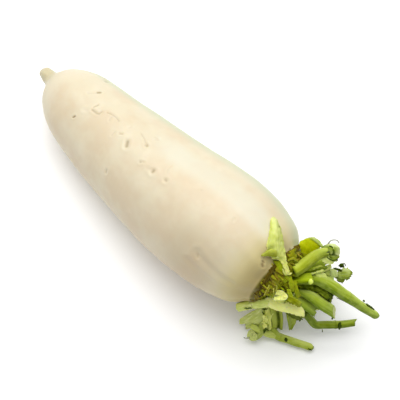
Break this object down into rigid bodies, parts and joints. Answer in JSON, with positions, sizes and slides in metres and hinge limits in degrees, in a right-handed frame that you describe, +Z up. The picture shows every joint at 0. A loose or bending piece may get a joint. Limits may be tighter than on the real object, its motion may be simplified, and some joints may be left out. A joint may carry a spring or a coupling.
{
  "type": "daikon radish",
  "caption": "Whole white daikon radish lying on its side, with a nub of a tail at one end and a crown of short hacked-off leaf stalks at the other.",
  "frame": {"origin": "on the table under the radish's centre of mass, in the flat patch that the root rests on", "axes": "+X along the root from the tail to the crown, +Y to its left seen from above with the crown ahead, +Z up"},
  "size_m": [0.3352, 0.0942, 0.0929],
  "materials": {
    "flesh": "smooth waxy skin, satin, greenish towards the crown",
    "green_stalk": "smooth wet green rind with fine ribs, satin",
    "pale_stalk": "torn and cut pale pith, satin",
    "leaf": "bruised dark leaf scraps, satin",
    "dry_husk": "dry brown and straw-coloured fibre, matt"
  },
  "bodies": {
    "root": {"root": "flesh", "folded_back_sheath": "pale_stalk", "top_stalk": "green_stalk", "level_stub": "green_stalk", "long_stalk": "green_stalk", "pale_stub": "pale_stalk", "split_stalk": "pale_stalk", "broad_stalk": "green_stalk", "centre_stub": "green_stalk", "middle_stalk": "green_stalk", "elbow_stalk": "green_stalk", "broad_sheath": "green_stalk", "pale_cut_stalk": "pale_stalk", "leafy_stalk": "green_stalk", "left_stub": "green_stalk", "torn_stalk": "pale_stalk", "low_broad_stalk": "green_stalk", "floor_stub": "green_stalk", "floor_stalk": "green_stalk", "wide_down_stalk": "green_stalk", "narrow_down_stalk": "green_stalk", "back_stalk_high": "green_stalk", "back_stalk_middle": "green_stalk", "back_stalk_low": "green_stalk", "back_stub_low": "green_stalk", "curled_lobe": "leaf", "ragged_lobe": "leaf", "dark_lobe": "leaf", "leaf_crumb": "leaf", "dark_shred": "leaf", "low_shred": "leaf", "sheath_flap": "leaf", "stalk_crust": "leaf", "curled_tendril": "dry_husk", "crumb_tendril": "dry_husk", "peeled_strip": "dry_husk", "stub_tendril": "dry_husk", "dry_scale_1": "dry_husk", "dry_scale_2": "dry_husk", "dry_scale_3": "dry_husk", "dry_scale_4": "dry_husk", "dry_scale_5": "dry_husk", "dry_scale_6": "dry_husk", "dry_scale_7": "dry_husk", "dry_scale_8": "dry_husk", "dry_scale_9": "dry_husk", "dry_scale_10": "dry_husk", "dry_scale_11": "dry_husk"}
  },
  "joints": []
}
